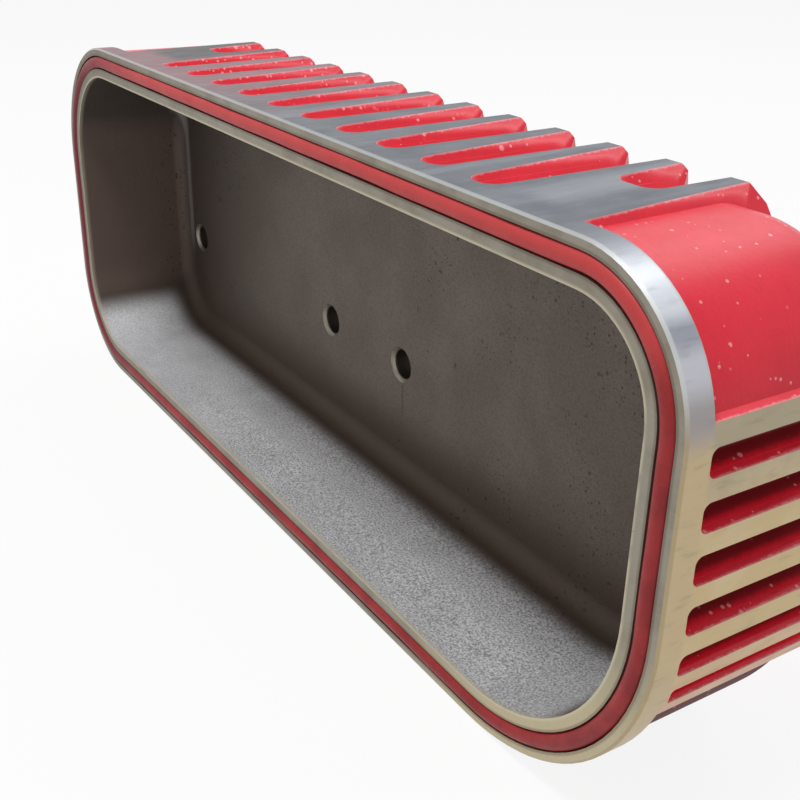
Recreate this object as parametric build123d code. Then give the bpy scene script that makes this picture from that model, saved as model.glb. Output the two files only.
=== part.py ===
from build123d import *
from math import radians, sqrt, tan
import os

# Finned engine valve cover: one aluminium casting, open on its gasket side, with a round
# cord seal laid in a groove of the gasket face.
#
# Frame: X runs along the cover, Z across it, and +Y runs from the gasket face into the
# depth of the cover. The cover stands on its lower long side. The origin is the middle of
# the underside, so the gasket face looks along -Y. All sizes are in millimetres.
#
# The pieces are built lying on the gasket face, with their depth along +Z and the upper
# long side at -Y, and are stood up at the end.

# --- Flange outline, as seen on the gasket face ---
FLANGE_LENGTH = 296.5
FLANGE_WIDTH = 112.5
CORNER_RIGHT_TOP = 27.5
CORNER_RIGHT_BOTTOM = 50.0
CORNER_LEFT_BOTTOM = 32.0
CORNER_LEFT_TOP = 40.0
FLANGE_BAND = 5.8             # height of the plain machined band round the flange
FLANGE_EDGE_BREAK = 0.5

# --- Casting, measured from the gasket face ---
COVER_DEPTH = 51.0
SKIN_STEP = 1.3               # drop from the machined band to the cast skin
SKIN_BACK_ROUND = 13.0        # shoulder between the side walls and the back
SIDE_OPENING = 1.5            # degrees that the rib crests of the upper side lean outwards
RIB_END_DEPTH = 47.7          # at which the ribs' crests end
RIB_END_DRAFT = 34.0          # degrees that the ribs' ends lean
RIB_END_ROUND = 1.0
RIB_BACK_STEP = 0.7           # from the ribs on the shoulder to the back

# --- Cavity ---
LIP_INSET = 9.0               # flange edge to the cavity's edge
CAVITY_DEPTH = 38.0
CAVITY_DRAFT = 1.5            # degrees
CAVITY_FLOOR_ROUND = 5.0

# --- Cord seal ---
SEAL_INSET = 4.3              # flange edge to the cord's centre line
SEAL_DIAMETER = 3.4
SEAL_GROOVE_WIDTH = 4.0
SEAL_GROOVE_DEPTH = 2.7

# --- Ribs up the long sides and onto the shoulder ---
LONG_RIBS = 13
LONG_RIB_PITCH = 17.05
LONG_RIB_CREST = 8.9          # at the band
LONG_RIB_NARROWING = 3.4      # degrees that each edge of a crest closes in towards the back
LONG_RIB_ROW_SHIFT = 7.85     # the row's middle from the cover's middle
LONG_RIB_DRAFT = 36.0         # degrees that a rib's flank leans
LONG_GROOVE_DEPTH = 5.4
LONG_GROOVE_ROUND = 3.8       # at the start of a groove, nearly a full round
SHORT_GROOVE_START = 28.5     # depth at which the first and the last groove start

# --- Ribs of the two end walls, which crowd and narrow towards the lower corner ---
END_RIB_RISES = [31.2, 21.4, 11.5, 1.6, -8.2, -16.7, -23.3]   # above the cover's middle
END_RIB_CRESTS = [4.2, 4.2, 4.1, 4.0, 4.0, 3.4, 2.6]
END_RIB_DRAFT = 24.0          # degrees
END_GROOVE_DEPTH = 5.8
END_GROOVE_ROUND = 1.6

# --- Holes through the floor ---
HOLE_DIAMETER = 8.5
HOLE_EDGE_BREAK = 0.85
HOLE_EDGE_ANGLE = 45.0        # degrees
HOLE_SEAT_DIAMETER = 18.0     # spot face on the back
HOLE_SEAT_DEPTH = 1.0
HOLE_ROW_DROP = 15.1          # row of holes below the cover's middle
END_HOLE_X = -126.5
CENTRE_HOLES_X = -9.4         # middle of the centre pair
CENTRE_HOLES_SPACING = 39.5

# --- Worked out from the sizes above ---
SEAL_PROUD = SEAL_DIAMETER - SEAL_GROOVE_DEPTH
GASKET_Y = (SEAL_PROUD - COVER_DEPTH) / 2
HALF_LENGTH = FLANGE_LENGTH / 2
HALF_WIDTH = FLANGE_WIDTH / 2
RIB_BACK = COVER_DEPTH - RIB_BACK_STEP
RIB_SLOPE = (RIB_BACK - RIB_END_DEPTH) / tan(radians(RIB_END_DRAFT))
SHOULDER = SKIN_STEP + SKIN_BACK_ROUND
STANDING = Pos(0, GASKET_Y, HALF_WIDTH) * Rot(-90, 0, 0)

BEYOND = 20.0                 # how far a cutting solid runs past the casting
OVERLAP = 1.0                 # how far two joined solids run into each other
MEETING_SHARE = 0.98          # how near two flanks or rounds come to meeting


def outline_wire(inset, lift=0.0):
    """The flange outline moved in by inset, with its upper side moved out by lift."""
    x = HALF_LENGTH - inset
    y = HALF_WIDTH - inset
    upper = -y - lift
    corners = [(x, upper), (x, y), (-x, y), (-x, upper)]
    radii = [CORNER_RIGHT_TOP, CORNER_RIGHT_BOTTOM, CORNER_LEFT_BOTTOM, CORNER_LEFT_TOP]
    return FilletPolyline(*corners, radius=[r - inset for r in radii], close=True)


def outline_block(depth, inset, height, draft=0.0, lift=0.0):
    """Block on the outline at a depth, with sides that lean inwards by the draft."""
    face = make_face(outline_wire(inset, lift).edges())
    return extrude(Pos(0, 0, depth) * face, height, taper=draft)


def back_edges(body):
    return body.faces().sort_by(Axis.Z)[-1].edges()


def cast_skin():
    """The cast body below the ribs, straight up to the shoulder."""
    body = outline_block(FLANGE_BAND, SKIN_STEP, COVER_DEPTH - FLANGE_BAND)
    return fillet(back_edges(body), SKIN_BACK_ROUND)


def flange_band():
    """The plain machined band that closes the crests off at the gasket face."""
    band = outline_block(0, 0, FLANGE_BAND)
    return chamfer(band.faces().sort_by(Axis.Z)[0].edges(), FLANGE_EDGE_BREAK)


def crest_limit(lift=0.0):
    """What the crests of the ribs are machined to and where their ends slope off. A lift
    leaves the upper side open, where the long ribs limit themselves."""
    walls = outline_block(0, 0, RIB_END_DEPTH, lift=lift)
    ends = outline_block(RIB_END_DEPTH, 0, RIB_BACK - RIB_END_DEPTH, 90 - RIB_END_DRAFT, lift)
    body = walls + ends
    return fillet(body.edges().group_by(Axis.Z)[2], RIB_END_ROUND)


def drafted_row(plane, section_at, length, draft, narrowing=0.0):
    """Block along the plane's normal, with end flanks that lean by the draft down past the
    shoulder and close in towards the back by the narrowing. section_at gives the block's
    section with its walls moved in by one distance at the band and by another at the back."""
    half = length / 2
    lean = tan(radians(draft))
    run = (RIB_BACK + OVERLAP - FLANGE_BAND) * tan(radians(narrowing))
    skirt = SHOULDER + BEYOND * tan(radians(SIDE_OPENING))
    top = -OVERLAP - run / lean
    stations = [(half + top * lean, top), (half + skirt * lean, skirt)]
    mirrored = [(-place, inset) for place, inset in reversed(stations)]
    faces = []
    for place, inset in mirrored + stations:
        section = Polyline(*section_at(inset, inset + run / lean), close=True)
        faces.append(plane.offset(place) * make_face(section))
    return loft(faces, ruled=True)


def long_rib_row():
    """Room of the ribs that run up both long sides, before the grooves part them."""
    plane = Plane(origin=(LONG_RIB_ROW_SHIFT, 0, 0), x_dir=(0, 1, 0), z_dir=(1, 0, 0))
    opening = tan(radians(SIDE_OPENING))
    past_back = RIB_BACK + OVERLAP

    def section_at(inset, back_inset):
        band = HALF_WIDTH - inset
        back = HALF_WIDTH - back_inset
        rise = (past_back - FLANGE_BAND) * opening
        return [(band, FLANGE_BAND), (-band, FLANGE_BAND), (-back - rise, past_back), (back, past_back)]

    length = (LONG_RIBS - 1) * LONG_RIB_PITCH + LONG_RIB_CREST
    room = drafted_row(plane, section_at, length, LONG_RIB_DRAFT, LONG_RIB_NARROWING)
    past_lower = HALF_WIDTH + BEYOND
    crest_end = -HALF_WIDTH - (RIB_END_DEPTH - FLANGE_BAND) * opening
    crests = Polyline(
        (past_lower, FLANGE_BAND),
        (-HALF_WIDTH, FLANGE_BAND),
        (crest_end, RIB_END_DEPTH),
        (crest_end + RIB_SLOPE, RIB_BACK),
        (past_lower, RIB_BACK),
        close=True,
    )
    limit = extrude(plane * make_face(crests), length, both=True)
    crest_end_edge = limit.edges().filter_by(Axis.X).sort_by(Axis.Y)[0]
    return room & fillet(crest_end_edge, RIB_END_ROUND)


def wall_drop(side, rise):
    """How far the outline has curved back from an end wall at a height."""
    upper = CORNER_RIGHT_TOP if side > 0 else CORNER_LEFT_TOP
    lower = CORNER_RIGHT_BOTTOM if side > 0 else CORNER_LEFT_BOTTOM
    radius = upper if rise > 0 else lower
    past = max(0, abs(rise) - HALF_WIDTH + radius)
    return radius - sqrt(radius**2 - past**2)


def end_rib_edges(side):
    """Upper and lower edge of each end rib, taken to the level of the end wall."""
    lean = tan(radians(END_RIB_DRAFT))
    edges = []
    for rise, crest in zip(END_RIB_RISES, END_RIB_CRESTS):
        upper = rise + crest / 2
        lower = rise - crest / 2
        edges.append((upper - lean * wall_drop(side, upper), lower + lean * wall_drop(side, lower)))
    return edges


def end_rib_row(side):
    """Room of the ribs of one end wall; side is 1 at +X and -1 at -X."""
    edges = end_rib_edges(side)
    top = edges[0][0]
    bottom = edges[-1][1]
    plane = Plane(origin=(0, -(top + bottom) / 2, 0), x_dir=(1, 0, 0), z_dir=(0, -1, 0))

    def section_at(inset, _):
        wall = side * (HALF_LENGTH - inset)
        reach = side * (HALF_LENGTH - SHOULDER - BEYOND)
        past_back = RIB_BACK + OVERLAP
        return [(reach, FLANGE_BAND), (wall, FLANGE_BAND), (wall, past_back), (reach, past_back)]

    return drafted_row(plane, section_at, top - bottom, END_RIB_DRAFT)


def flank_height(width, height, draft):
    """Height of a groove's flanks, which ends where they meet if that comes first."""
    return min(height, MEETING_SHARE * width / 2 / tan(radians(draft)))


def side_groove(plane, start, width, end_width, start_round, height, draft):
    """Groove that runs from a depth out past the back, to a width at its end. The plane lies
    on the crests, its x runs from the gasket face into the depth and its normal into the
    casting."""
    end = COVER_DEPTH + BEYOND
    corners = [(start, -width / 2), (end, -end_width / 2), (end, end_width / 2), (start, width / 2)]
    mouth = make_face(Polyline(*corners, close=True))
    full_round = MEETING_SHARE * width / 2
    mouth = fillet(mouth.vertices().sort_by(Axis.X)[:2], min(start_round, full_round))
    return plane.location * extrude(mouth, flank_height(width, height, draft), taper=draft)


def back_groove(x, y, size_x, size_y, height, draft):
    """Straight groove between the ribs on the shoulder, round a middle."""
    depth = flank_height(min(size_x, size_y), height, draft)
    cutter = extrude(Rectangle(size_x, size_y), depth, taper=draft)
    return Pos(x, y, RIB_BACK) * Rot(180, 0, 0) * cutter


def long_groove_width(depth):
    """Width between two long ribs, which grows as their crests narrow."""
    return LONG_RIB_PITCH - LONG_RIB_CREST + 2 * (depth - FLANGE_BAND) * tan(radians(LONG_RIB_NARROWING))


def long_rib_grooves():
    """Grooves between the long ribs, on both long sides and across the back."""
    cutters = []
    across = 2 * (HALF_WIDTH + BEYOND)
    lean = tan(radians(SIDE_OPENING))
    foot = lean * FLANGE_BAND
    end_width = long_groove_width(COVER_DEPTH + BEYOND)
    back_width = long_groove_width(RIB_BACK)
    shape = (LONG_GROOVE_DEPTH, LONG_RIB_DRAFT)
    last = LONG_RIBS - 2
    for i in range(LONG_RIBS - 1):
        x = LONG_RIB_ROW_SHIFT + (i - last / 2) * LONG_RIB_PITCH
        start = SHORT_GROOVE_START if i in (0, last) else FLANGE_BAND
        upper = Plane(origin=(x, foot - HALF_WIDTH, 0), x_dir=(0, -lean, 1), z_dir=(0, 1, lean))
        lower = Plane(origin=(x, HALF_WIDTH, 0), x_dir=(0, 0, 1), z_dir=(0, -1, 0))
        for plane in (upper, lower):
            mouth = (start, long_groove_width(start), end_width, LONG_GROOVE_ROUND)
            cutters.append(side_groove(plane, *mouth, *shape))
        cutters.append(back_groove(x, 0, back_width, across, *shape))
    return cutters


def end_rib_grooves(side):
    """Grooves between the ribs of one end wall, on the wall and on the shoulder."""
    cutters = []
    wall = side * HALF_LENGTH
    along = 2 * (SHOULDER + 2 * BEYOND)
    edges = end_rib_edges(side)
    for above, below in zip(edges, edges[1:]):
        width = above[1] - below[0]
        rise = (above[1] + below[0]) / 2
        plane = Plane(origin=(wall, -rise, 0), x_dir=(0, 0, 1), z_dir=(-side, 0, 0))
        shape = (END_GROOVE_DEPTH, END_RIB_DRAFT)
        cutters.append(side_groove(plane, FLANGE_BAND, width, width, END_GROOVE_ROUND, *shape))
        cutters.append(back_groove(wall, -rise, along, width, *shape))
    return cutters


def cavity():
    """The hollow of the cover, leaning in towards a floor with a rounded edge."""
    wider = BEYOND * tan(radians(CAVITY_DRAFT))
    hollow = outline_block(-BEYOND, LIP_INSET - wider, CAVITY_DEPTH + BEYOND, CAVITY_DRAFT)
    return fillet(back_edges(hollow), CAVITY_FLOOR_ROUND)


def seal_groove():
    half = SEAL_GROOVE_WIDTH / 2
    outer = outline_block(0, SEAL_INSET - half, SEAL_GROOVE_DEPTH)
    return outer - outline_block(0, SEAL_INSET + half, SEAL_GROOVE_DEPTH)


def hole_places():
    """The end hole and the centre pair."""
    half = CENTRE_HOLES_SPACING / 2
    places = [END_HOLE_X, CENTRE_HOLES_X - half, CENTRE_HOLES_X + half]
    return [Pos(x, HOLE_ROW_DROP, 0) for x in places]


def holes():
    """Plain holes with a broken edge on the cavity's floor and a spot face on the back."""
    bore = extrude(Pos(0, 0, CAVITY_DEPTH) * Circle(HOLE_DIAMETER / 2), BEYOND, both=True)
    rim = Pos(0, 0, CAVITY_DEPTH) * Circle(HOLE_DIAMETER / 2 + HOLE_EDGE_BREAK)
    seat = Pos(0, 0, COVER_DEPTH - HOLE_SEAT_DEPTH) * Circle(HOLE_SEAT_DIAMETER / 2)
    cutter = bore + extrude(rim, HOLE_EDGE_BREAK, taper=HOLE_EDGE_ANGLE) + extrude(seat, BEYOND)
    return [place * cutter for place in hole_places()]


def valve_cover():
    long_ribs = (crest_limit(BEYOND) & long_rib_row()) - long_rib_grooves()
    end_ribs = crest_limit() & (end_rib_row(1) + end_rib_row(-1))
    end_ribs -= end_rib_grooves(1) + end_rib_grooves(-1)
    body = cast_skin() + long_ribs + end_ribs + flange_band()
    return STANDING * (body - cavity() - seal_groove() - holes())


def cover_seal():
    """Closed cord ring that stands on the bottom of its groove."""
    path = Pos(0, 0, SEAL_GROOVE_DEPTH - SEAL_DIAMETER / 2) * outline_wire(SEAL_INSET)
    start = Plane(origin=path @ 0, z_dir=path % 0)
    return STANDING * sweep(start * Circle(SEAL_DIAMETER / 2), path=path)


os.makedirs("parts", exist_ok=True)
export_step(valve_cover(), "parts/valve_cover.step")
export_step(cover_seal(), "parts/cover_seal.step")
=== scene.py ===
import math

import bmesh
import bpy
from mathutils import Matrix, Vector


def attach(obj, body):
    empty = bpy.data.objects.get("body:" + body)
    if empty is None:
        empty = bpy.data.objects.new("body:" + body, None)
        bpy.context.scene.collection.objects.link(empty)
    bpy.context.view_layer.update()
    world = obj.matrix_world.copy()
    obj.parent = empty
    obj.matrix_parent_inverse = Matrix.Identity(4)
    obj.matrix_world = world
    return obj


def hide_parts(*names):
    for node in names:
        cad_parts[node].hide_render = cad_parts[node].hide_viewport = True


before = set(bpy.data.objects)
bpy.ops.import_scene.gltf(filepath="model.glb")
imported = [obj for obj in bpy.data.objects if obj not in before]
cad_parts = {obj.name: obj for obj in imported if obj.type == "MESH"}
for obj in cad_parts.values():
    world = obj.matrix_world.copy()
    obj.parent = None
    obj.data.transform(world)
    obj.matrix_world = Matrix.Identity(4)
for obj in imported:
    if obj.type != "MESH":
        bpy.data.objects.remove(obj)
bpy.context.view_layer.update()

# ---------------------------------------------------------------- sizes, in metres
# Depths are measured from the gasket face, heights ("rise") from the cover's middle.
MM = 0.001
FACE_Y = -25.15 * MM             # the gasket face
MIDDLE_Z = 56.25 * MM            # the cover's middle above the floor
HALF_LENGTH = 148.25 * MM
HALF_WIDTH = 56.25 * MM
CORNERS = {(1, 1): 27.5 * MM, (1, -1): 50 * MM, (-1, -1): 32 * MM, (-1, 1): 40 * MM}
BAND = 5.8 * MM                  # depth of the machined band
CREST_END = 47.7 * MM            # depth at which the crests end
LEAN = math.radians(1.5)         # the upper crests lean out towards the back
LEAN_REACH = 119 * MM            # no upper crest lies further out than this
CAVITY_INSET = 9 * MM
CAVITY_DEPTH = 38 * MM
SEAT_DEPTH = 49 * MM             # the spot faces of the bores lie deeper
SEAT_RADIUS = 9.2 * MM
BORE_RADIUS = 5.3 * MM           # with the broken edge
HOLES = [(-126.5 * MM, -15.1 * MM), (-29.15 * MM, -15.1 * MM), (10.35 * MM, -15.1 * MM)]
PAINT = 0.1 * MM                 # thickness of the paint
SHARP = math.radians(24)         # edges from this angle on stay sharp

SEAL_INSET = 4.3 * MM
SEAL_RADIUS = 1.7 * MM
SEAL_DEPTH = 1.0 * MM            # the cord's centre below the gasket face
SEAL_WIDER = 1.12                # the cord swells against the sides of its groove
SEAL_GROOVE_DEPTH = 2.7 * MM
SEAL_SIDES = 28
SEAL_STEP = 1.1 * MM

CLEAR = 0.05 * MM                # between a groove's hollow and the flanks above it
GROOVE_END = 66 * MM             # behind the back, where the hollows are open
LONG_GROOVES = 12
LONG_PITCH = 17.05 * MM
LONG_SHIFT = 7.85 * MM
LONG_WIDTH = 8.15 * MM           # of a mouth at the band
LONG_WIDENING = math.tan(math.radians(3.4))
LONG_DEPTH = 4.8 * MM
LONG_DRAFT = 36
LONG_CORNER = 3.8 * MM
SHORT_START = 28.5 * MM          # where the first and the last groove start
END_RISES = [31.2, 21.4, 11.5, 1.6, -8.2, -16.7, -23.3]    # of the end crests, in mm
END_CRESTS = [4.2, 4.2, 4.1, 4.0, 4.0, 3.4, 2.6]           # their widths, in mm
END_DEPTH = 4.6 * MM
END_DRAFT = 24
END_CORNER = 1.6 * MM
BOTTOM_ROUND = 1.0 * MM

FACE, SIDE, CAVITY, BORE, RED = range(5)    # the finishes of the casting's faces


def link(item):
    bpy.context.scene.collection.objects.link(item)
    return item


# ---------------------------------------------------------------- camera
def make_camera():
    data = bpy.data.cameras.new("photo_view")
    data.sensor_width = 36.0
    data.lens = 36.0 * 1.40926
    data.clip_start = 0.005
    camera = link(bpy.data.objects.new("photo_view", data))
    camera.location = (0.25053, -0.14206, 0.16338)
    camera.rotation_euler = [math.radians(a) for a in (65.0548, -1.0648, 57.6843)]
    bpy.context.scene.camera = camera


# ---------------------------------------------------------------- shape helpers
def inset(x, rise):
    """Distance inwards from the flange outline."""
    radius = CORNERS[(1 if x > 0 else -1, 1 if rise > 0 else -1)]
    past_x = abs(x) - HALF_LENGTH + radius
    past_z = abs(rise) - HALF_WIDTH + radius
    if past_x > 0 and past_z > 0:
        return radius - math.hypot(past_x, past_z)
    return min(HALF_LENGTH - abs(x), HALF_WIDTH - abs(rise))


def crest_drop(point):
    """Distance below the surface that the crests and the band are machined to."""
    depth = point.y - FACE_Y
    rise = point.z - MIDDLE_Z
    drop = inset(point.x, rise)
    if rise > 0 and abs(point.x) < LEAN_REACH:
        drop = min(drop, HALF_WIDTH - rise)
        drop += max(0.0, depth - BAND) * math.tan(LEAN)
    return max(drop, 0.0)


def finish_of(centre, normal):
    """Which finish a face of the casting has."""
    depth = centre.y - FACE_Y
    rise = centre.z - MIDDLE_Z
    inside = inset(centre.x, rise)
    hole = min(math.hypot(centre.x - x, rise - z) for x, z in HOLES)
    if depth > CAVITY_DEPTH - 0.2 * MM and hole < BORE_RADIUS:
        return BORE
    if depth > SEAT_DEPTH and hole < SEAT_RADIUS:
        return BORE
    if depth < 0.05 * MM:
        return FACE
    if depth < SEAL_GROOVE_DEPTH + 0.05 * MM and 2 * MM < inside < CAVITY_INSET - 2 * MM:
        return FACE
    if depth < BAND + 0.02 * MM and inside < 2 * MM:
        return RED if normal.y > 0.5 else SIDE
    if inside > CAVITY_INSET - 1 * MM and depth < CAVITY_DEPTH + 0.1 * MM:
        return CAVITY
    on_crest = crest_drop(centre) < 0.12 * MM and depth < CREST_END + 0.2 * MM
    return SIDE if abs(normal.y) < 0.2 and on_crest else RED


def add_piece(name, mesh, node):
    piece = link(bpy.data.objects.new(name, mesh))
    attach(piece, "root")
    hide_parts(node)
    return piece


def write_drop(mesh):
    """Keep each point's distance below the crests, in mm, for the materials."""
    layer = mesh.attributes.new("drop", "FLOAT", "POINT")
    layer.data.foreach_set("value", [crest_drop(v.co) / MM for v in mesh.vertices])


def weight_normals(piece):
    weighted = piece.modifiers.new("normals", "WEIGHTED_NORMAL")
    weighted.keep_sharp = True
    weighted.weight = 50


def to_mesh(bm, name):
    mesh = bpy.data.meshes.new(name)
    bm.to_mesh(mesh)
    bm.free()
    return mesh


# ---------------------------------------------------------------- the grooves' hollows
def groove_rings(place, along, inward, start, width, widening, depth, draft, corner, bottom):
    """Rings of points of a groove's hollow. The mouth starts at a depth of the casting with
    rounded corners and widens towards the back; the flanks lean and the bottom is rounded."""
    across = along.cross(inward)
    draft = math.radians(draft)
    lean = math.tan(draft)
    levels = [(-1 * MM, -1 * MM * lean)]
    middle = lean * depth + bottom * math.tan((math.pi / 2 - draft) / 2)
    for i in range(7):
        turn = draft + (math.pi / 2 - draft) * i / 6
        levels.append((depth - bottom + bottom * math.sin(turn), middle - bottom * math.cos(turn)))
    rings = []
    for down, moved in levels:
        near = start + moved + CLEAR
        half = width / 2 - moved - CLEAR
        radius = min(max(corner - moved, 0.03 * MM), half * 0.98)
        far = half + widening * (GROOVE_END - start)
        loop = []
        for i in range(9):
            angle = math.pi / 2 * i / 8
            a = near + radius - radius * math.sin(angle)
            loop.append((a, half - radius + radius * math.cos(angle)))
        loop += [(a, -b) for a, b in reversed(loop)]
        loop = [(GROOVE_END, far)] + loop + [(GROOVE_END, -far)]
        rings.append([place + along * a + across * b + inward * down for a, b in loop])
    return rings


def long_grooves():
    """Rings of the grooves of both long sides."""
    leaning = Vector((0, 1, math.tan(LEAN)))
    leaning_inward = Vector((0, math.sin(LEAN), -math.cos(LEAN)))
    top = MIDDLE_Z + HALF_WIDTH - BAND * math.tan(LEAN)
    grooves = []
    for i in range(LONG_GROOVES):
        x = LONG_SHIFT + (i - (LONG_GROOVES - 1) / 2) * LONG_PITCH
        start = SHORT_START if i in (0, LONG_GROOVES - 1) else BAND
        width = LONG_WIDTH + 2 * LONG_WIDENING * (start - BAND)
        shape = (start, width, LONG_WIDENING, LONG_DEPTH, LONG_DRAFT, LONG_CORNER, BOTTOM_ROUND)
        grooves.append(groove_rings(Vector((x, FACE_Y, top)), leaning, leaning_inward, *shape))
        place = Vector((x, FACE_Y, MIDDLE_Z - HALF_WIDTH))
        grooves.append(groove_rings(place, Vector((0, 1, 0)), Vector((0, 0, 1)), *shape))
    return grooves


def wall_drop(side, rise):
    """How far the outline has curved back from an end wall at a height."""
    radius = CORNERS[(side, 1 if rise > 0 else -1)]
    past = max(0.0, abs(rise) - HALF_WIDTH + radius)
    return radius - math.sqrt(radius**2 - past**2)


def end_mouths(side):
    """Rise and width of the mouths of the grooves of one end wall."""
    lean = math.tan(math.radians(END_DRAFT))
    edges = []
    for rise, crest in zip(END_RISES, END_CRESTS):
        upper = (rise + crest / 2) * MM
        lower = (rise - crest / 2) * MM
        upper_edge = upper - lean * wall_drop(side, upper)
        edges.append((upper_edge, lower + lean * wall_drop(side, lower)))
    pairs = zip(edges, edges[1:])
    return [((above[1] + below[0]) / 2, above[1] - below[0]) for above, below in pairs]


def end_grooves():
    """Rings of the grooves of both end walls."""
    grooves = []
    for side in (1, -1):
        for rise, width in end_mouths(side):
            bottom = min(BOTTOM_ROUND, width / 6)
            room = width / 2 * 0.97 - bottom * math.tan(math.radians(90 - END_DRAFT) / 2)
            depth = min(END_DEPTH, room / math.tan(math.radians(END_DRAFT)))
            shape = (BAND, width, 0.0, depth, END_DRAFT, END_CORNER, bottom)
            place = Vector((side * HALF_LENGTH, FACE_Y, MIDDLE_Z + rise))
            grooves.append(groove_rings(place, Vector((0, 1, 0)), Vector((-side, 0, 0)), *shape))
    return grooves


def groove_cutters():
    """The hollows of all the grooves between the ribs, as closed meshes in one."""
    bm = bmesh.new()
    for rings in long_grooves() + end_grooves():
        rows = [[bm.verts.new(point) for point in ring] for ring in rings]
        for upper, lower in zip(rows, rows[1:]):
            for i in range(len(upper)):
                k = (i + 1) % len(upper)
                bm.faces.new((upper[i], upper[k], lower[k], lower[i]))
        bm.faces.new(rows[0])
        bm.faces.new(rows[-1])
    bmesh.ops.recalc_face_normals(bm, faces=bm.faces)
    bmesh.ops.triangulate(bm, faces=bm.faces)
    return to_mesh(bm, "grooves")


# ---------------------------------------------------------------- the casting and its paint
def cut_casting():
    """The casting's mesh, with its grooves cut to their full depth."""
    bm = bmesh.new()
    bm.from_mesh(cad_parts["valve_cover"].data)
    bmesh.ops.remove_doubles(bm, verts=bm.verts, dist=1e-7)
    body = link(bpy.data.objects.new("casting", to_mesh(bm, "casting")))
    tool = link(bpy.data.objects.new("grooves", groove_cutters()))
    cut = body.modifiers.new("cut", "BOOLEAN")
    cut.operation = "DIFFERENCE"
    cut.solver = "EXACT"
    cut.object = tool
    depsgraph = bpy.context.evaluated_depsgraph_get()
    result = bpy.data.meshes.new_from_object(body.evaluated_get(depsgraph))
    bpy.data.objects.remove(body)
    bpy.data.objects.remove(tool)
    return result


def casting_mesh(source):
    """The casting as one closed mesh with a finish on every face."""
    bm = bmesh.new()
    bm.from_mesh(source)
    bmesh.ops.remove_doubles(bm, verts=bm.verts, dist=2e-6)
    bmesh.ops.dissolve_degenerate(bm, edges=bm.edges, dist=1e-6)
    bmesh.ops.holes_fill(bm, edges=[e for e in bm.edges if e.is_boundary], sides=4)
    bm.normal_update()
    for face in bm.faces:
        face.material_index = finish_of(face.calc_center_median(), face.normal)
        face.smooth = True
    for edge in bm.edges:
        edge.smooth = edge.calc_face_angle(0.0) < SHARP
    return bm


def covered(item):
    """Whether only painted faces meet at an edge or a point."""
    return all(face.material_index == RED for face in item.link_faces)


def make_casting(source, materials):
    """The metal, which dips by half the paint's thickness where the paint covers it."""
    bm = casting_mesh(source)
    # Edges that run under the paint from border to border are split, so that they dip too.
    across = [e for e in bm.edges if covered(e) and not any(covered(v) for v in e.verts)]
    bmesh.ops.subdivide_edges(bm, edges=across, cuts=1)
    bmesh.ops.triangulate(bm, faces=bm.faces)
    bm.normal_update()
    for vert in [v for v in bm.verts if covered(v)]:
        vert.co -= vert.normal * PAINT / 2
    mesh = to_mesh(bm, "cover_casting")
    for material in materials:
        mesh.materials.append(material)
    write_drop(mesh)
    weight_normals(add_piece("cover_casting", mesh, "valve_cover"))


def make_paint(source, material):
    """The red coat on everything but the machined faces, as a thin closed shell."""
    bm = casting_mesh(source)
    bare = [f for f in bm.faces if f.material_index != RED]
    bmesh.ops.delete(bm, geom=bare, context="FACES")
    for face in bm.faces:
        face.material_index = 0
    mesh = to_mesh(bm, "paint_skin")
    mesh.materials.append(material)
    write_drop(mesh)
    piece = add_piece("paint_skin", mesh, "valve_cover")
    weight_normals(piece)
    shell = piece.modifiers.new("shell", "SOLIDIFY")
    shell.thickness = PAINT
    shell.offset = -1
    shell.use_even_offset = False


# ---------------------------------------------------------------- the cord
def outline_points(distance, step):
    """Points and outward directions round the outline at an inset, from the upper right."""
    stations = []
    for (sx, sz), start in (((1, 1), 90), ((1, -1), 0), ((-1, -1), -90), ((-1, 1), -180)):
        radius = CORNERS[(sx, sz)]
        centre = Vector((sx * (HALF_LENGTH - radius), 0, sz * (HALF_WIDTH - radius)))
        count = max(8, round((radius - distance) * math.pi / 2 / step))
        for i in range(count + 1):
            angle = math.radians(start - 90 * i / count)
            out = Vector((math.cos(angle), 0, math.sin(angle)))
            stations.append((centre + out * (radius - distance), out))
    filled = []
    for (a, out_a), (b, out_b) in zip(stations, stations[1:] + stations[:1]):
        count = max(1, round((b - a).length / step))
        for i in range(count):
            filled.append((a.lerp(b, i / count), out_a.lerp(out_b, i / count).normalized()))
    return filled


def make_cord(material):
    """The cord seal, which lies a little unevenly in its groove."""
    rows = outline_points(SEAL_INSET, SEAL_STEP)
    verts = []
    faces = []
    for i, (point, out) in enumerate(rows):
        turn = 2 * math.pi * i / len(rows)
        sway = 0.05 * MM * math.sin(7 * turn) + 0.04 * MM * math.sin(19 * turn + 1)
        sink = 0.03 * MM * (1 + math.sin(11 * turn + 2))
        size = SEAL_RADIUS - 0.02 * MM * (1 + math.sin(31 * turn))
        centre = point + out * sway
        centre.y = FACE_Y + SEAL_DEPTH + sink
        centre.z += MIDDLE_Z
        row = i * SEAL_SIDES
        next_row = (i + 1) % len(rows) * SEAL_SIDES
        for j in range(SEAL_SIDES):
            k = (j + 1) % SEAL_SIDES
            angle = 2 * math.pi * j / SEAL_SIDES
            sideways = out * size * SEAL_WIDER * math.cos(angle)
            verts.append(centre + sideways - Vector((0, size * math.sin(angle), 0)))
            faces.append((row + j, row + k, next_row + k, next_row + j))
    mesh = bpy.data.meshes.new("seal_cord")
    mesh.from_pydata(verts, [], faces)
    bm = bmesh.new()
    bm.from_mesh(mesh)
    bmesh.ops.recalc_face_normals(bm, faces=bm.faces)
    bm.to_mesh(mesh)
    bm.free()
    mesh.shade_smooth()
    mesh.materials.append(material)
    add_piece("seal_cord", mesh, "cover_seal")


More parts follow.
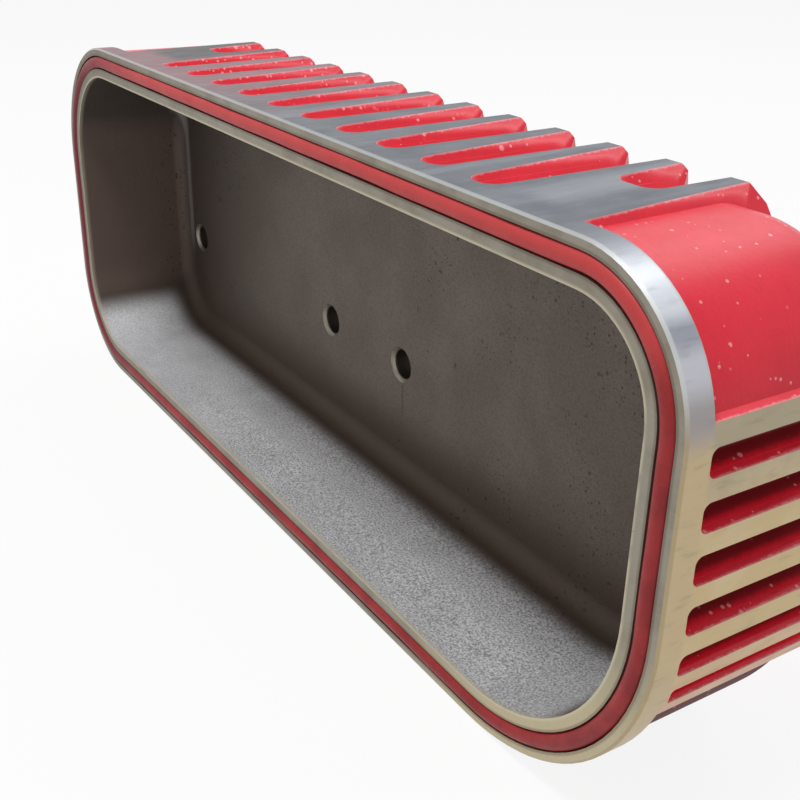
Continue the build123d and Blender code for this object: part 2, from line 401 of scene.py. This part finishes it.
# ---------------------------------------------------------------- materials
def rgb(red, green, blue):
    """A colour as it is seen, from 0 to 255, for a shader's socket."""
    linear = []
    for value in (red, green, blue):
        value /= 255
        linear.append(((value + 0.055) / 1.055) ** 2.4 if value > 0.04 else value / 12.92)
    return (*linear, 1.0)


class Finish:
    """A material, with short calls for the nodes that it is made of. Lengths are in mm."""

    def __init__(self, name, **uniform):
        self.material = bpy.data.materials.new(name)
        self.material.use_nodes = True
        self.nodes = self.material.node_tree.nodes
        self.links = self.material.node_tree.links
        self.shader = self.nodes["Principled BSDF"]
        for socket, value in uniform.items():
            self.shader.inputs[socket.replace("_", " ")].default_value = value
        place = self.nodes.new("ShaderNodeTexCoord").outputs["Object"]
        self.place = self.vector("SCALE", place, scale=1000)
        split = self.nodes.new("ShaderNodeSeparateXYZ")
        self.links.new(self.place, split.inputs[0])
        self.x, y, z = split.outputs
        self.depth = self.plus(y, -FACE_Y / MM)
        self.rise = self.plus(z, -MIDDLE_Z / MM)

    def feed(self, socket, value):
        if isinstance(value, bpy.types.NodeSocket):
            self.links.new(value, socket)
        else:
            socket.default_value = value

    def set(self, socket, value):
        self.feed(self.shader.inputs[socket], value)

    def vector(self, operation, a, b=None, scale=None):
        node = self.nodes.new("ShaderNodeVectorMath")
        node.operation = operation
        self.feed(node.inputs[0], a)
        if b is not None:
            self.feed(node.inputs[1], b)
        if scale is not None:
            self.feed(node.inputs["Scale"], scale)
        return node.outputs[0]

    def math(self, operation, a, b=0.0):
        node = self.nodes.new("ShaderNodeMath")
        node.operation = operation
        self.feed(node.inputs[0], a)
        self.feed(node.inputs[1], b)
        return node.outputs[0]

    def plus(self, a, b):
        return self.math("ADD", a, b)

    def less(self, a, b):
        return self.math("SUBTRACT", a, b)

    def times(self, a, *others):
        for b in others:
            a = self.math("MULTIPLY", a, b)
        return a

    def larger(self, a, b):
        return self.math("MAXIMUM", a, b)

    def absolute(self, a):
        return self.math("ABSOLUTE", a)

    def ramp(self, value, start, end):
        """0 at the start and 1 at the end, with a smooth step between."""
        node = self.nodes.new("ShaderNodeMapRange")
        node.interpolation_type = "SMOOTHSTEP"
        self.feed(node.inputs["Value"], value)
        node.inputs["From Min"].default_value = min(start, end)
        node.inputs["From Max"].default_value = max(start, end)
        node.inputs["To Min"].default_value = 0.0 if start < end else 1.0
        node.inputs["To Max"].default_value = 1.0 if start < end else 0.0
        return node.outputs["Result"]

    def line(self, value, place, width):
        """1 on a line of a width at a place of the value, fading to 0 beside it."""
        return self.ramp(self.absolute(self.less(value, place)), width, width * 0.3)

    def noise(self, size, detail=3.0, stretch=(1, 1, 1), roughness=0.5):
        """Noise from 0 to 1 with blotches of a size, drawn out by the stretch."""
        node = self.nodes.new("ShaderNodeTexNoise")
        node.inputs["Scale"].default_value = 1 / size
        node.inputs["Detail"].default_value = detail
        node.inputs["Roughness"].default_value = roughness
        self.feed(node.inputs["Vector"], self.vector("DIVIDE", self.place, stretch))
        return node.outputs["Fac"]

    def spots(self, spacing, size, share):
        """Round spots up to a size, in a share of the cells."""
        node = self.nodes.new("ShaderNodeTexVoronoi")
        node.inputs["Scale"].default_value = 1 / spacing
        self.feed(node.inputs["Vector"], self.place)
        pick = self.nodes.new("ShaderNodeSeparateColor")
        self.links.new(node.outputs["Color"], pick.inputs[0])
        chance = pick.outputs[0]
        grown = self.times(self.ramp(chance, 1 - share, 1.0), size / spacing / 2)
        least = self.times(self.math("GREATER_THAN", chance, 1 - share), 0.2 * size / spacing)
        radius = self.larger(self.plus(grown, least), 0.0001)
        return self.ramp(self.math("DIVIDE", node.outputs["Distance"], radius), 1.0, 0.55)

    def drop(self):
        """Distance below the crests and the band."""
        node = self.nodes.new("ShaderNodeAttribute")
        node.attribute_name = "drop"
        return node.outputs["Fac"]

    def inset(self):
        """Distance inwards from the flange outline."""
        right = self.math("GREATER_THAN", self.x, 0)
        top = self.math("GREATER_THAN", self.rise, 0)
        radii = []
        for side in (-1, 1):
            low, high = CORNERS[(side, -1)] / MM, CORNERS[(side, 1)] / MM
            radii.append(self.plus(self.times(top, high - low), low))
        radius = self.plus(radii[0], self.times(right, self.less(radii[1], radii[0])))
        past_x = self.plus(self.less(self.absolute(self.x), HALF_LENGTH / MM), radius)
        past_z = self.plus(self.less(self.absolute(self.rise), HALF_WIDTH / MM), radius)
        out_x = self.larger(past_x, 0)
        out_z = self.larger(past_z, 0)
        squares = self.plus(self.times(out_x, out_x), self.times(out_z, out_z))
        within = self.math("MINIMUM", self.larger(past_x, past_z), 0)
        return self.less(self.less(radius, self.math("SQRT", squares)), within)

    def mix(self, factor, a, b):
        node = self.nodes.new("ShaderNodeMix")
        node.data_type = "RGBA"
        self.feed(node.inputs[0], factor)
        self.feed(node.inputs[6], a)
        self.feed(node.inputs[7], b)
        return node.outputs[2]

    def tint(self, colour, place, *other, share=1.0):
        """The colour with another one, as it is seen, laid over a share of it at a place."""
        factor = place if share == 1.0 else self.times(place, share)
        return self.mix(factor, colour, rgb(*other))

    def bump(self, height, depth):
        """Relief of a height map from 0 to 1, depth in mm."""
        node = self.nodes.new("ShaderNodeBump")
        node.inputs["Strength"].default_value = 1.0
        node.inputs["Distance"].default_value = depth * MM
        self.feed(node.inputs["Height"], height)
        self.links.new(node.outputs[0], self.shader.inputs["Normal"])

    def above(self, pattern, share, least):
        """A share of a pattern above a least value."""
        return self.plus(self.times(pattern, share), least)


def red_paint():
    f = Finish("red_paint", Metallic=0.0, Specular_IOR_Level=0.32,
               Coat_Weight=0.12, Coat_Roughness=0.25)
    drop = f.drop()
    colour = f.mix(f.ramp(f.noise(14, 4), 0.3, 0.7), rgb(216, 20, 46), rgb(226, 30, 54))
    colour = f.tint(colour, f.ramp(f.noise(1.6, 3), 0.55, 0.75), 190, 26, 40, share=0.2)
    # worn along the crests and lightened there as a painted edge highlight; painted shade at the
    # foot of the end grooves and under the right end
    ragged = f.plus(drop, f.times(f.noise(1.3, 4, roughness=0.7), 1.1))
    colour = f.tint(colour, f.ramp(ragged, 1.0, 0.62), 226, 140, 146, share=0.8)
    # painted shade deep in the end grooves, where the rib above would shade them
    on_end = f.times(f.ramp(f.absolute(f.x), 134, 142), f.ramp(f.depth, 46, 40))
    groove_shade = f.times(f.ramp(ragged, 2.0, 3.4), on_end)
    colour = f.tint(colour, groove_shade, 88, 24, 22, share=0.8)
    # painted shade on the lower corner under the right end
    under_shade = f.times(f.ramp(f.rise, -24, -28), f.ramp(f.x, 92, 112), f.ramp(f.depth, 48, 40))
    colour = f.tint(colour, under_shade, 56, 16, 10, share=0.92)
    # specks, raised and pale, their paleness partly a painted glint: fine ones crowd on the ribs,
    # most on the far ones; coarse ones on the skin
    far = f.times(f.ramp(f.x, 60, -60), f.ramp(f.x, -128, -118))
    crowd = f.ramp(f.plus(f.noise(9, 2), f.times(far, 0.1)), 0.4, 0.54)
    fine = f.larger(f.spots(1.7, 0.75, 0.45), f.times(f.spots(1.5, 0.9, 0.6), far))
    fine = f.times(fine, crowd, f.ramp(drop, 5.5, 3.0))
    coarse = f.times(f.spots(7.0, 1.35, 0.34), f.ramp(drop, 3.2, 2.4))
    specks = f.larger(fine, coarse)
    colour = f.tint(colour, specks, 250, 180, 184, share=0.62)
    f.set("Base Color", colour)
    f.set("Roughness", f.plus(f.above(f.noise(2.5, 3), 0.14, 0.3), f.times(under_shade, 0.5)))
    f.bump(f.plus(f.noise(0.9, 2), f.times(specks, 0.8)), 0.035)
    return f.material


def machined_face():
    """The gasket face and the cord's groove in it."""
    f = Finish("machined_face", Metallic=0.6)
    inset = f.inset()
    streaks = f.noise(0.35, 3, stretch=(10, 1, 3))
    stain = f.noise(7, 4)
    colour = f.mix(f.ramp(stain, 0.35, 0.7), rgb(150, 144, 130), rgb(134, 127, 112))
    # painted warm reflection: the face lighter and sandier at the lower right
    low = f.times(f.ramp(f.rise, 0, -35), f.ramp(f.x, 60, 110))
    colour = f.tint(colour, low, 190, 178, 146)
    colour = f.tint(colour, f.ramp(f.x, -10, -140), 112, 102, 88, share=0.55)
    colour = f.tint(colour, f.ramp(streaks, 0.5, 0.75), 176, 170, 156, share=0.2)
    # darker along both edges of the cord's groove
    groove_edge_dark = f.larger(f.line(inset, 2.2, 0.7), f.line(inset, 6.4, 0.6))
    colour = f.tint(colour, groove_edge_dark, 84, 66, 54, share=0.45)
    # the inner edge worn and lightened in blotches, partly as a painted highlight
    edge = f.times(f.ramp(inset, 8.2, 8.9), f.ramp(stain, 0.2, 0.5))
    colour = f.tint(colour, edge, 206, 196, 170, share=0.7)
    colour = f.tint(colour, f.spots(4, 0.4, 0.3), 84, 72, 60, share=0.5)
    colour = f.tint(colour, f.ramp(f.depth, 0.3, 1.6), 120, 84, 76)
    f.set("Base Color", colour)
    f.set("Roughness", f.above(streaks, 0.2, 0.38))
    f.bump(streaks, 0.01)
    return f.material


def side_metal():
    """The band and the crests of the ribs, machined in one go round the cover."""
    f = Finish("side_metal", Metallic=0.8)
    grain = f.noise(0.45, 4, stretch=(3, 14, 3))
    cloud = f.noise(11, 3)
    # the upper side, cool grey as a painted reflection of the sky, with a painted sheen and a
    # painted highlight streak, pink further away as a painted reflection of the red, then darker
    # far away
    top = f.mix(f.ramp(cloud, 0.35, 0.65), rgb(82, 88, 97), rgb(96, 102, 110))
    sheen = f.noise(9, 2, stretch=(1, 30, 1))
    top = f.tint(top, f.ramp(sheen, 0.5, 0.75), 126, 132, 140, share=0.6)
    highlight_streak = f.times(f.line(f.x, 99, 8), f.ramp(f.depth, 5, 12))
    top = f.tint(top, highlight_streak, 146, 151, 159, share=0.5)
    top = f.tint(top, f.ramp(f.x, 30, -60), 140, 88, 94, share=0.75)
    top = f.tint(top, f.times(f.ramp(f.x, -70, -80), f.ramp(f.depth, 9, 16)), 56, 56, 60)
    # the right end's crests, sandy as a painted warm reflection that changes with height
    end = f.mix(f.ramp(f.rise, 30, 8), rgb(168, 156, 132), rgb(194, 172, 130))
    end = f.tint(end, f.ramp(f.rise, -10, -26), 204, 164, 136)
    end = f.tint(end, f.ramp(cloud, 0.45, 0.7), 208, 188, 156, share=0.35)
    colour = f.mix(f.ramp(f.x, 134, 141), top, end)
    # the band round the right end, from the top down, in bands of painted reflection: bright
    # silver near the top, then greys and tan
    band = f.mix(f.ramp(f.rise, 56, 52.5), rgb(132, 135, 142), rgb(202, 206, 213))
    band = f.tint(band, f.ramp(f.rise, 49.5, 46.5), 150, 154, 164)
    band = f.tint(band, f.ramp(f.rise, 46, 42.5), 188, 189, 196)
    band = f.tint(band, f.ramp(f.rise, 41, 35), 158, 152, 152)
    band = f.tint(band, f.ramp(f.rise, 34, 27), 190, 170, 134)
    band = f.tint(band, f.ramp(f.rise, -34, -52), 172, 156, 124)
    colour = f.mix(f.times(f.ramp(f.x, 112, 128), f.ramp(f.depth, 6.6, 5.2)), colour, band)
    colour = f.tint(colour, f.ramp(f.x, -118, -128), 120, 112, 104)
    colour = f.tint(colour, f.ramp(grain, 0.55, 0.8), 98, 94, 94, share=0.22)
    # the broken edge beside the gasket face, lightened as a painted highlight, warmer and dimmer
    # at the lower right
    dim_warm_edge = f.times(f.ramp(f.rise, 40, 30), f.ramp(f.x, 100, 130))
    shine = f.mix(dim_warm_edge, rgb(196, 198, 196), rgb(168, 150, 118))
    colour = f.mix(f.times(f.ramp(f.depth, 0.75, 0.35), 0.7), colour, shine)
    f.set("Base Color", colour)
    f.set("Roughness", f.above(grain, 0.2, 0.3))
    f.bump(grain, 0.01)
    return f.material


def cavity_metal():
    """The cast inside, with pits: a darker brown floor, partly painted shade, a lower wall made
    bright as painted light, and a painted highlight along the far end's fillet.
    """
    f = Finish("cavity_metal", Metallic=0.3)
    grain = f.noise(0.5, 3, roughness=0.75)
    fine = f.noise(0.25, 2, roughness=0.7)
    floor = f.mix(f.ramp(f.noise(22, 4), 0.35, 0.65), rgb(116, 105, 95), rgb(104, 94, 84))
    floor = f.tint(floor, f.ramp(f.x, -30, -130), 76, 65, 59)
    floor = f.tint(floor, f.ramp(grain, 0.45, 0.65), 70, 61, 53, share=0.45)
    # painted light: the lower wall gets a much brighter colour than the floor, with painted glints
    # in its grain
    wall = f.mix(f.ramp(f.noise(16, 3), 0.4, 0.65), rgb(214, 214, 217), rgb(200, 200, 203))
    near = f.above(f.ramp(f.x, -110, 0), 0.6, 0.4)
    wall = f.tint(wall, f.times(f.ramp(grain, 0.4, 0.6), 0.9, near), 112, 111, 112)
    wall = f.tint(wall, f.ramp(fine, 0.56, 0.66), 250, 251, 253, share=0.85)
    # painted shade: the floor darker towards its lower edge
    low = f.times(f.ramp(f.rise, -34, -42), f.ramp(f.depth, 33, 25))
    colour = f.mix(low, f.tint(floor, f.ramp(f.rise, -24, -40), 78, 64, 54), wall)
    # painted light: the far end wall lighter
    lit_far_end = f.times(f.ramp(f.x, -135, -139), f.ramp(f.rise, -40, -30))
    colour = f.tint(colour, lit_far_end, 106, 88, 80)
    # painted highlight along the fillet between the far end wall and the floor
    fillet_highlight = f.times(f.line(f.x, -134.2, 1.7), f.ramp(f.rise, -26, -10), f.ramp(f.depth, 31, 33))
    colour = f.tint(colour, fillet_highlight, 136, 131, 125, share=0.6)
    # pits in patches, most of them at the upper right, with a few larger ones all over
    right = f.times(f.ramp(f.x, 40, 110), f.ramp(f.rise, 0, 25))
    patch = f.ramp(f.plus(f.noise(26, 3), f.times(right, 0.16)), 0.5, 0.62)
    pits = f.times(f.larger(f.spots(2.6, 1.0, 0.5), f.spots(1.1, 0.6, 0.55)), patch)
    pits = f.times(f.larger(pits, f.spots(12, 1.2, 0.35)), f.ramp(f.depth, 24, 34))
    colour = f.tint(colour, pits, 38, 32, 28, share=0.7)
    # a drip below the near hole
    drip = f.times(f.line(f.x, 11.5, 0.9), f.ramp(f.rise, -19, -21))
    drip = f.times(drip, f.ramp(f.rise, -33, -27), f.ramp(f.depth, 37, 37.8))
    colour = f.tint(colour, drip, 62, 54, 48, share=0.4)
    # the lip's edge lightened, partly wear and partly a painted highlight
    lip = f.times(f.ramp(f.depth, 1.6, 0.2), f.ramp(f.inset(), 10, 9.2))
    colour = f.tint(colour, lip, 190, 182, 160, share=0.6)
    f.set("Base Color", colour)
    f.set("Roughness", f.above(grain, 0.2, 0.5))
    f.bump(f.less(f.plus(grain, f.times(fine, 0.4)), pits), 0.1)
    return f.material


def bore_metal():
    """The bores and their spot faces: a painted highlight at the bore's broken edge, painted shade
    further in, and bright again towards the spot faces.
    """
    f = Finish("bore_metal", Metallic=0.7)
    turning = f.noise(0.4, 3, stretch=(8, 1, 8))
    # painted highlight at the cavity end of the bore, painted shade further in
    colour = f.mix(f.ramp(f.depth, 38.9, 39.6), rgb(150, 142, 130), rgb(74, 66, 58))
    colour = f.tint(colour, f.ramp(f.depth, 47, 50), 150, 146, 140)
    colour = f.tint(colour, f.ramp(turning, 0.45, 0.7), 70, 63, 56, share=0.4)
    f.set("Base Color", colour)
    f.set("Roughness", f.above(turning, 0.2, 0.32))
    f.bump(turning, 0.015)
    return f.material


def rubber():
    f = Finish("seal_rubber", Metallic=0.0, Specular_IOR_Level=0.35)
    cloud = f.noise(7, 4)
    colour = f.mix(f.ramp(cloud, 0.35, 0.65), rgb(158, 36, 38), rgb(138, 28, 32))
    # painted light: the upper part of the cord lighter
    colour = f.tint(colour, f.ramp(f.rise, 36, 46), 206, 68, 68, share=0.7)
    colour = f.tint(colour, f.ramp(f.x, -60, -140), 118, 34, 44)
    colour = f.tint(colour, f.ramp(f.noise(0.5, 3), 0.62, 0.8), 206, 112, 106, share=0.3)
    f.set("Base Color", colour)
    f.set("Roughness", f.above(cloud, 0.2, 0.42))
    f.bump(f.noise(0.35, 3), 0.03)
    return f.material


# ---------------------------------------------------------------- light and floor
def seen_ray(tree):
    """1 on rays from the camera, in reflections and through glass, 0 on the light's."""
    path = tree.nodes.new("ShaderNodeLightPath")
    total = path.outputs["Is Camera Ray"]
    for name in ("Is Glossy Ray", "Is Transmission Ray"):
        node = tree.nodes.new("ShaderNodeMath")
        node.operation = "MAXIMUM"
        tree.links.new(total, node.inputs[0])
        tree.links.new(path.outputs[name], node.inputs[1])
        total = node.outputs[0]
    return total


def make_world():
    """White where it is seen, dimmer as a light."""
    world = bpy.data.worlds.new("studio")
    world.use_nodes = True
    tree = world.node_tree
    background = tree.nodes["Background"]
    background.inputs["Color"].default_value = (1, 1, 1, 1)
    strength = tree.nodes.new("ShaderNodeMapRange")
    strength.inputs["To Min"].default_value = 0.45
    strength.inputs["To Max"].default_value = 1.0
    tree.links.new(seen_ray(tree), strength.inputs["Value"])
    tree.links.new(strength.outputs["Result"], background.inputs["Strength"])
    bpy.context.scene.world = world


def make_lamp(name, place, target, size, power):
    data = bpy.data.lights.new(name, "AREA")
    data.shape = "DISK"
    data.size = size
    data.energy = power
    lamp = link(bpy.data.objects.new(name, data))
    lamp.location = place
    lamp.rotation_euler = (Vector(target) - Vector(place)).to_track_quat("-Z", "Y").to_euler()


def make_floor():
    """A white floor that glows for the rays that see it and keeps the object's shadow."""
    half = 6.0
    corners = [(-half, -half, 0), (half, -half, 0), (half, half, 0), (-half, half, 0)]
    mesh = bpy.data.meshes.new("floor")
    mesh.from_pydata(corners, [], [(0, 1, 2, 3)])
    link(bpy.data.objects.new("floor", mesh))
    material = bpy.data.materials.new("floor")
    material.use_nodes = True
    tree = material.node_tree
    tree.nodes.remove(tree.nodes["Principled BSDF"])
    diffuse = tree.nodes.new("ShaderNodeBsdfDiffuse")
    diffuse.inputs["Color"].default_value = (0.9, 0.9, 0.9, 1)
    glow = tree.nodes.new("ShaderNodeEmission")
    share = tree.nodes.new("ShaderNodeMath")
    share.operation = "MULTIPLY"
    share.inputs[1].default_value = 0.88
    blend = tree.nodes.new("ShaderNodeMixShader")
    tree.links.new(seen_ray(tree), share.inputs[0])
    tree.links.new(share.outputs[0], blend.inputs[0])
    tree.links.new(diffuse.outputs[0], blend.inputs[1])
    tree.links.new(glow.outputs[0], blend.inputs[2])
    tree.links.new(blend.outputs[0], tree.nodes["Material Output"].inputs[0])
    mesh.materials.append(material)


make_camera()
red = red_paint()
casting = cut_casting()
make_casting(casting, [machined_face(), side_metal(), cavity_metal(), bore_metal(), red])
make_paint(casting, red)
make_cord(rubber())
make_world()
make_lamp("key", (0.05, -0.30, 1.10), (0, 0, 0.05), 0.30, 6.5)
make_lamp("back", (-0.25, 0.75, 0.95), (0, 0, 0.08), 0.7, 2.2)
make_floor()
bpy.context.scene.view_settings.view_transform = "Standard"
